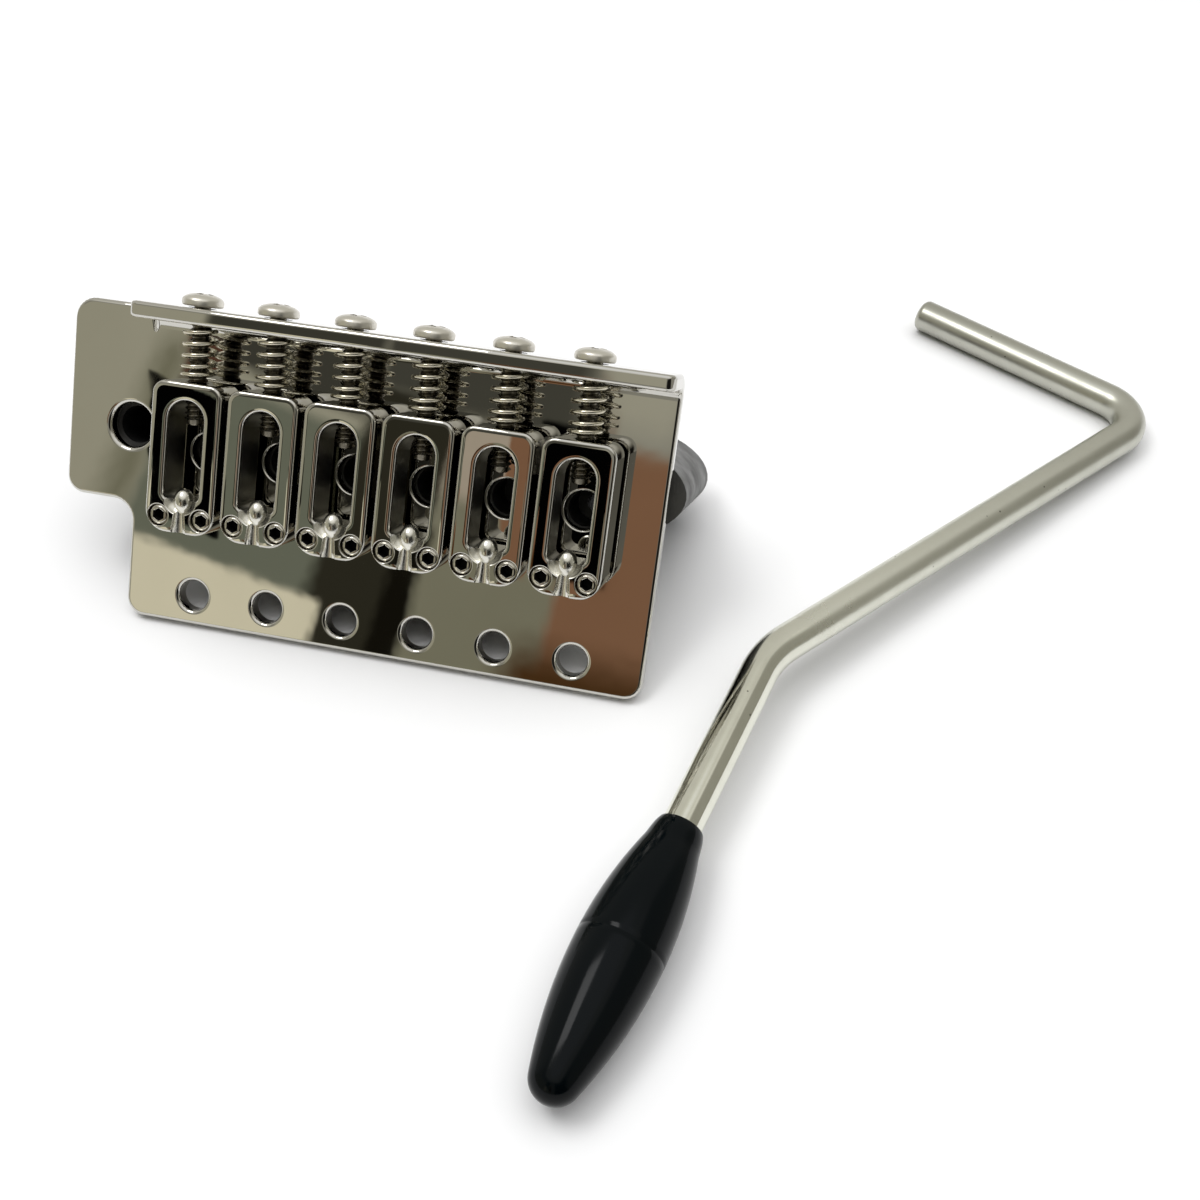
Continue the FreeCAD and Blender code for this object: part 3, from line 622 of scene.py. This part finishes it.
for number, x in enumerate(stringXs, 1):
    piece = makePiece("intonationSpring%d" % number, compressionSpring(x), [wireFinish])
    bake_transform(piece)
    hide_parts("intonation_spring_%d" % number)
print("springs made")

grub = {
    "radius": 1.45, "low": 0.3, "top": 7.9, "crownR": 0.55, "footR": 0.9,
    "hexAcross": 1.5, "hexDepth": 2.0, "mouth": 0.12,
}


def socketScrew():
    g = grub
    bm = bmesh.new()
    profile = [(0, g["low"]), (g["footR"], g["low"]), (g["radius"], g["low"] + g["radius"] - g["footR"])]
    profile += arc(g["radius"] - g["crownR"], g["top"] - g["crownR"], g["crownR"], 0, 90, steps=8)
    profile += [(0, g["top"])]
    revolve(bm, profile, Vector((0, 0, 0)), zAxis, xAxis)
    hexagon = bmesh.new()
    corner = g["hexAcross"] / math.sqrt(3)
    bmesh.ops.create_cone(hexagon, cap_ends=True, segments=6, radius1=corner, radius2=corner,
                          depth=2 * g["hexDepth"], matrix=Matrix.Translation((0, 0, g["top"])))
    bm = combine(bm, hexagon)
    mouth = sharpEdges(bm, lambda e: all(abs(v.co.z - g["top"]) < near for v in e.verts))
    roundEdges(bm, mouth, g["mouth"], segments=2)
    belowFloor = g["top"] - 1.2 * g["hexDepth"]
    for face in bm.faces:
        spot = face.calc_center_median()
        if belowFloor < spot.z < g["top"] - g["mouth"] and spot.xy.length < corner:
            face.material_index = 1  # inside the socket
    return bm


shape = socketScrew()
for number, x in enumerate(stringXs, 1):
    for word, side in (("left", -1), ("right", 1)):
        copy = shape.copy()
        bmesh.ops.translate(copy, verts=copy.verts, vec=(x + side * saddle["grubX"], saddle["grubY"], 0))
        piece = makePiece("heightScrew%d%s" % (number, word.capitalize()), copy, [grubFinish, socketFinish])
        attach(piece, "feet_%d" % number)
        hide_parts("height_screw_%d_%s" % (number, word))
shape.free()
print("height screws made")

block = {
    "frontY": 17.3, "thickness": 13.9, "depth": 26.6, "rightX": 40.4, "leftX": -46.2,
    "rightProw": 14.0, "leftProw": 10.0, "prowSteps": 24, "edgeR": 0.6,
    "stringR": 1.2, "ballR": 2.3, "ballDepth": 16.0, "reliefR": 2.5, "reliefDepth": 7.0,
    "clawR": 1.3, "clawDepth": 9.0, "clawY": 27.7, "screwDepth": 8.8, "drillPoint": 0.6,
    "bushR": 4.02, "bushDepth": 18.0,
}


def castBlock():
    b = block
    bm = bmesh.new()
    half = b["thickness"] / 2
    midY = b["frontY"] + half
    top = -plate["thickness"]
    low = top - b["depth"]
    outline = []
    for endX, prow, start in ((b["rightX"], b["rightProw"], -90), (b["leftX"], -b["leftProw"], 90)):
        for k in range(b["prowSteps"] + 1):
            t = math.radians(start + 180 * k / b["prowSteps"])
            outline.append((endX - prow + abs(prow) * math.cos(t), midY + half * math.sin(t), 0))
    prism(bm, outline, low, top, segments=1)
    lowRim = sharpEdges(bm, lambda e: all(v.co.z < low + near for v in e.verts))
    roundEdges(bm, lowRim, b["edgeR"], segments=4)
    ballTop, reliefLow = low + b["ballDepth"], top - b["reliefDepth"]
    clawTop, screwLow, bushLow = low + b["clawDepth"], top - b["screwDepth"], top - b["bushDepth"]
    channel = [(0, low - past), (b["ballR"], low - past), (b["ballR"], ballTop),
               (b["stringR"], ballTop), (b["stringR"], reliefLow), (b["reliefR"], reliefLow),
               (b["reliefR"], top + past), (0, top + past)]
    claw = [(0, low - past), (b["clawR"], low - past), (b["clawR"], clawTop), (0, clawTop + b["drillPoint"])]
    stem = [(0, top + past), (plate["stemR"], top + past), (plate["stemR"], screwLow),
            (0, screwLow - b["drillPoint"])]
    bush = [(0, top + past), (b["bushR"], top + past), (b["bushR"], bushLow), (0, bushLow)]
    cutter = bmesh.new()
    for x in stringXs:
        revolve(cutter, channel, Vector((x, plate["stringY"], 0)), zAxis, xAxis, steps=32)
    for k in range(5):
        revolve(cutter, claw, Vector((stringPitch * (k - 2), b["clawY"], 0)), zAxis, xAxis, steps=32)
    for x in plate["screwXs"]:
        revolve(cutter, stem, Vector((x, plate["screwY"], 0)), zAxis, xAxis, steps=32)
    revolve(cutter, bush, Vector((plate["armX"], plate["armY"], 0)), zAxis, xAxis)
    bm = combine(bm, cutter)
    piece = makePiece("castBlock", bm, [blockFinish], flatSides=True)
    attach(piece, "bridge")
    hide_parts("tremolo_block")


castBlock()
for name, finish in (("block_screws", screwFinish), ("arm_bush", bushFinish)):
    frame["nodes"][name].data.materials.clear()
    frame["nodes"][name].data.materials.append(finish)
print("block made")

arm = {
    "radius": 2.6, "end": (68.9, 87.0), "headings": (-26.7, -129.6, -103.0), "lengths": (42.4, 82.2, 29.1),
    "bendRise": 7.4, "bendR": (6.0, 15.0), "endR": 1.0,
}
tip = {
    "length": 37.6, "neckR": 3.0, "neckEase": 0.1, "flare": 0.18, "shoulderR": 3.7, "shoulderS": 3.0,
    "neckShares": (0.02, 0.06, 0.12, 0.25, 0.4, 0.55, 0.7, 0.85, 1), "maxR": 5.65, "maxS": 17.67,
    "noseR": 3.2, "noseEdgeR": 3.0, "socketShare": 0.6, "fit": 0.02,
    "ringDepth": 0.07, "ringWidth": 0.3, "ringClear": 0.5, "steps": 40,
}
noseS = tip["length"] - tip["noseR"] + math.sqrt(tip["noseR"] ** 2 - tip["noseEdgeR"] ** 2)


def heading(degrees):
    return Vector((math.cos(math.radians(degrees)), math.sin(math.radians(degrees)), 0))


def tipRadius(s):
    # two long arcs that meet at the fullest part
    run, drop = noseS - tip["maxS"], tip["maxR"] - tip["noseEdgeR"]
    if s < tip["maxS"]:
        run, drop = tip["maxS"] - tip["shoulderS"], tip["maxR"] - tip["shoulderR"]
    sweepR = (run * run + drop * drop) / (2 * drop)
    return tip["maxR"] - sweepR + math.sqrt(sweepR ** 2 - (s - tip["maxS"]) ** 2)


def armStops():
    start = Vector((*arm["end"], floorZ + arm["radius"]))
    corner = start + heading(arm["headings"][0]) * arm["lengths"][0]
    rise = zAxis * (arm["bendRise"] - arm["radius"])
    bend = corner + heading(arm["headings"][1]) * arm["lengths"][1] + rise
    dips = []  # the last run dips until the tip touches the floor
    for k in range(tip["steps"] + 1):
        s = tip["shoulderS"] + (tip["length"] - tip["noseR"] - tip["shoulderS"]) * k / tip["steps"]
        along, radius = arm["lengths"][2] + s, tipRadius(s)
        dips.append(math.asin(arm["bendRise"] / math.hypot(along, radius)) - math.atan2(radius, along))
    dip = min(dips)
    lastWay = heading(arm["headings"][2]) * math.cos(dip) - zAxis * math.sin(dip)
    return [start, corner, bend, bend + lastWay * arm["lengths"][2]], lastWay


stops, lastWay = armStops()


def bentRod():
    bm = bmesh.new()
    ways = [(b - a).normalized() for a, b in zip(stops, stops[1:])]
    circle = bmesh.ops.create_circle(bm, cap_ends=True, segments=40, radius=arm["radius"])["verts"]
    bmesh.ops.rotate(bm, verts=circle, cent=(0, 0, 0), matrix=ways[0].to_track_quat("Z", "Y").to_matrix())
    bmesh.ops.translate(bm, verts=circle, vec=stops[0])
    end = bm.faces[:] + bm.edges[:] + bm.verts[:]
    here = stops[0].copy()
    inner = stops[3] + lastWay * tip["length"] * tip["socketShare"]
    for k, bendR in enumerate(arm["bendR"]):
        turn = ways[k].angle(ways[k + 1])
        enter = stops[k + 1] - ways[k] * bendR * math.tan(turn / 2)
        end = bmesh.ops.extrude_face_region(bm, geom=end)["geom"]
        bmesh.ops.translate(bm, verts=vertsOf(end), vec=enter - here)
        axis = ways[k].cross(ways[k + 1]).normalized()
        centre = enter + axis.cross(ways[k]) * bendR
        end = bmesh.ops.spin(bm, geom=end, cent=centre, axis=axis, angle=turn, steps=24)["geom_last"]
        here = stops[k + 1] + ways[k + 1] * bendR * math.tan(turn / 2)
    end = bmesh.ops.extrude_face_region(bm, geom=end)["geom"]
    bmesh.ops.translate(bm, verts=vertsOf(end), vec=inner - here)
    bmesh.ops.holes_fill(bm, edges=[e for e in bm.edges if e.is_boundary], sides=0)
    bmesh.ops.recalc_face_normals(bm, faces=bm.faces)
    rim = sharpEdges(bm, lambda e: all((v.co - stops[0]).length < 1.2 * arm["radius"] for v in e.verts))
    roundEdges(bm, rim, arm["endR"], segments=6)
    piece = makePiece("bentRod", bm, [armFinish], millimetre)
    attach(piece, "arm")
    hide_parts("arm_rod")


def mouldedTip():
    t = tip
    socketS = t["length"] * t["socketShare"]
    boreR = arm["radius"] + t["fit"]
    profile = [(0, socketS), (boreR, socketS), (boreR, 0), (t["neckR"] - t["neckEase"], 0)]
    for share in t["neckShares"]:
        flare = t["flare"] * math.sin(math.pi * min(share / 0.5, 1) / 2) * (1 - share)  # a rounded rim
        neckR = t["neckR"] + (t["shoulderR"] - t["neckR"]) * share
        profile.append((neckR + flare, t["shoulderS"] * share))
    run = noseS - t["shoulderS"]
    places = [t["shoulderS"] + run * k / t["steps"] for k in range(1, t["steps"] + 1)]
    halfRing = t["ringWidth"] / 2
    ring = [t["maxS"] - t["ringWidth"], t["maxS"] - halfRing, t["maxS"], t["maxS"] + halfRing]
    for s in sorted([p for p in places if abs(p - t["maxS"]) > t["ringClear"]] + ring):
        groove = t["ringDepth"] if abs(s - t["maxS"] + halfRing / 2) < halfRing else 0  # the mould line
        profile.append((tipRadius(s) - groove, s))
    noseTurn = math.degrees(math.acos(t["noseEdgeR"] / t["noseR"]))
    profile += arc(0, t["length"] - t["noseR"], t["noseR"], noseTurn, 90, steps=10)[1:]
    bm = bmesh.new()
    side = lastWay.cross(zAxis).normalized()
    revolve(bm, profile, stops[3], lastWay, side, steps=64)
    piece = makePiece("mouldedTip", bm, [tipFinish], millimetre)
    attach(piece, "arm")
    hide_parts("arm_tip")


bentRod()
mouldedTip()
print("arm made")

# The camera stands where the photograph was taken from.
cameraSpot = {
    "place": (60.56, -113.96, 156.23), "right": (0.9749, 0.2221, -0.0157), "down": (0.1614, -0.7535, -0.6373),
    "lens": 42.64, "sensor": 36, "clipStart": 0.005,
}
cameraData = bpy.data.cameras.new("photoCamera")
cameraData.lens = cameraSpot["lens"]
cameraData.sensor_width = cameraSpot["sensor"]
cameraData.clip_start = cameraSpot["clipStart"]
camera = bpy.data.objects.new("photoCamera", cameraData)
right = Vector(cameraSpot["right"]).normalized()
back = right.cross(-Vector(cameraSpot["down"])).normalized()
up = back.cross(right)
camera.matrix_world = Matrix((
    (right.x, up.x, back.x, cameraSpot["place"][0] / 1000),
    (right.y, up.y, back.y, cameraSpot["place"][1] / 1000),
    (right.z, up.z, back.z, cameraSpot["place"][2] / 1000),
    (0, 0, 0, 1)))
scene.collection.objects.link(camera)
scene.camera = camera


def paleFloor():
    bm = bmesh.new()
    bmesh.ops.create_grid(bm, x_segments=1, y_segments=1, size=3)
    bmesh.ops.translate(bm, verts=bm.verts, vec=(0, 0, cadBox[0][2]))
    floor = asObject(bm, "paleFloor")
    material = bpy.data.materials.new("whitePaper")
    material.use_nodes = True
    tree = material.node_tree
    tree.nodes.clear()
    rays = addNode(tree, "ShaderNodeLightPath")
    shade = addNode(tree, "ShaderNodeMix", {
        "Factor": rays.outputs["Is Diffuse Ray"], "A": linear("#f8f8f8"), "B": linear("#606060")},
        data_type="RGBA")  # less glow under the plate
    paper = addNode(tree, "ShaderNodeBsdfDiffuse", {"Color": shade.outputs["Result"]})
    addNode(tree, "ShaderNodeOutputMaterial", {"Surface": paper.outputs[0]})
    floor.data.materials.append(material)


# What the chrome sees: a dim room under a pale ceiling, a warm wall ahead, a brown side, dark and
# light cards. Directions are degrees from straight ahead (-Y) towards +X, and above the level.
room = {"dim": "#9c9a90", "dark": "#1d1c1a", "pale": "#d0cec6", "wall": "#b5b29f", "brown": "#936d53",
        "black": "#030303"}
cards = [  # name, azimuth, elevation, half width, half height, softness, slant, colour
    ("paleCeiling", 0, 90, 200, 40, 5, 0, "#e8e6de"),
    ("skylight", 0, 90, 200, 26, 4, 0, "#ffffff"),
    ("paleBackLeft", -135, 30, 50, 32, 8, 0, room["pale"]),
    ("paleBackRight", 160, 30, 30, 32, 8, 0, room["pale"]),
    ("warmWall", -47, 18, 35, 17, 2, 0, room["wall"]),
    ("darkRight", 33, 18, 23, 26, 5, 0, room["dark"]),
    ("wallCorner", -31.2, 27, 0.6, 4, 0.8, 0, "#86846f"),
    ("greenShade", -26, 26.8, 4.5, 3.4, 0.4, 0, "#7a7e6f"),
    ("darkPanel", -20.2, 26.3, 2.2, 6.3, 0.5, 0, "#353329"),
    ("greyRight", -14.9, 24, 3.2, 8, 0.3, 0, "#8e8c78"),
    ("deepShade", -18.6, 22.5, 0.7, 5, 0.3, 0, "#181610"),
    ("tanPanel", -26.4, 14, 4.7, 9.4, 0.25, 0, "#f6efd4"),
    ("brownSide", -7.9, 20, 4.0, 12.8, 0.4, 0, room["brown"]),
    ("brownLow", -8.6, 19, 4.8, 5, 1.2, 0, "#54391f"),
    ("brownTop", -12.8, 34.2, 1.7, 1.3, 0.2, 0.1, "#6a4636"),
    ("lightPane", -16.6, 30.6, 1.5, 1.6, 0.5, 0, "#c0b3a2"),
    ("brownPost", -14.7, 29.5, 0.62, 2.8, 0.15, 0.2, room["brown"]),
    ("darkShelfLeft", -26.5, 37.1, 4.0, 6.3, 0.4, 0, "#48473f"),
    ("darkShelf", -17.4, 37.9, 5.1, 5.6, 0.4, 0, "#4f4e46"),
    ("lightCorner", -10.2, 35.4, 2.2, 2.2, 1.2, 0, "#bab7a6"),
    ("brownLeft", -29.9, 30.5, 0.9, 0.9, 0.25, 0.3, "#5f4335"),
    ("blackLeft", -29.15, 26.9, 1.55, 2.5, 0.08, 0.45, room["black"]),
    ("blackRight", -12.15, 30.0, 1.8, 3.0, 0.1, 0.2, room["black"]),
]
fill = {"fromElevation": 18.0, "toElevation": 75.0, "low": 0.02, "high": 2.6, "darkY": -0.6, "fullY": 0.0}


def studio():
    world = bpy.data.worlds.new("studio")
    world.use_nodes = True
    scene.world = world
    tree = world.node_tree
    tree.nodes.clear()
    place = addNode(tree, "ShaderNodeTexCoord")
    split = addNode(tree, "ShaderNodeSeparateXYZ", {0: place.outputs["Generated"]})
    ahead = addNode(tree, "ShaderNodeMath", {0: split.outputs["Y"], 1: -1.0}, operation="MULTIPLY")
    turn = addNode(tree, "ShaderNodeMath", {0: split.outputs["X"], 1: ahead.outputs[0]}, operation="ARCTAN2")
    azimuth = addNode(tree, "ShaderNodeMath", {0: turn.outputs[0]}, operation="DEGREES").outputs[0]
    rise = addNode(tree, "ShaderNodeMath", {0: split.outputs["Z"]}, operation="ARCSINE")
    elevation = addNode(tree, "ShaderNodeMath", {0: rise.outputs[0]}, operation="DEGREES").outputs[0]
    view = linear(room["dim"])
    for name, az, el, halfWidth, halfHeight, soft, slant, colour in cards:
        above = addNode(tree, "ShaderNodeMath", {0: elevation, 1: el}, operation="SUBTRACT").outputs[0]
        beside = addNode(tree, "ShaderNodeMath", {0: azimuth, 1: az}, operation="SUBTRACT").outputs[0]
        aside = addNode(tree, "ShaderNodeMath", {0: above, 1: slant, 2: beside},
                        operation="MULTIPLY_ADD").outputs[0]
        masks = []
        for off, half in ((aside, halfWidth), (above, halfHeight)):
            far = addNode(tree, "ShaderNodeMath", {0: off}, operation="ABSOLUTE")
            masks.append(addNode(tree, "ShaderNodeMapRange", {
                "Value": far.outputs[0], "From Min": half + soft, "From Max": half - soft},
                interpolation_type="SMOOTHSTEP").outputs[0])
        mask = addNode(tree, "ShaderNodeMath", {0: masks[0], 1: masks[1]}, operation="MULTIPLY", label=name)
        view = addNode(tree, "ShaderNodeMix", {"Factor": mask.outputs[0], "A": view, "B": linear(colour)},
                       data_type="RGBA").outputs["Result"]
    rays = addNode(tree, "ShaderNodeLightPath")
    lift = addNode(tree, "ShaderNodeMapRange", {
        "Value": elevation, "From Min": fill["fromElevation"], "From Max": fill["toElevation"],
        "To Min": fill["low"], "To Max": fill["high"]})  # paler towards the ceiling
    front = addNode(tree, "ShaderNodeMapRange", {
        "Value": split.outputs["Y"], "From Min": fill["darkY"], "From Max": fill["fullY"],
        "To Min": 0.0, "To Max": 1.0})  # darker on the camera's side
    ambient = addNode(tree, "ShaderNodeMath", {0: lift.outputs[0], 1: front.outputs[0]}, operation="MULTIPLY")
    plain = addNode(tree, "ShaderNodeMix", {
        "Factor": rays.outputs["Is Camera Ray"], "A": ambient.outputs[0], "B": (1, 1, 1, 1)},
        data_type="RGBA")
    final = addNode(tree, "ShaderNodeMix", {
        "Factor": rays.outputs["Is Glossy Ray"], "A": plain.outputs["Result"], "B": view}, data_type="RGBA")
    glow = addNode(tree, "ShaderNodeBackground", {"Color": final.outputs["Result"], "Strength": 1.0})
    addNode(tree, "ShaderNodeOutputWorld", {"Surface": glow.outputs[0]})


def softbox(name, spot, aim, size, watts):
    data = bpy.data.lights.new(name, "AREA")
    data.shape = "RECTANGLE"
    data.size, data.size_y = size
    data.energy = watts
    lamp = bpy.data.objects.new(name, data)
    lamp.location = Vector(spot) / 1000
    way = Vector(aim) / 1000 - lamp.location
    lamp.rotation_euler = way.to_track_quat("-Z", "Y").to_euler()
    scene.collection.objects.link(lamp)


paleFloor()
studio()
softbox("overhead", spot=(-205, 0, 556), aim=(20, 0, 0), size=(0.26, 0.2), watts=0.9)
print("studio made")
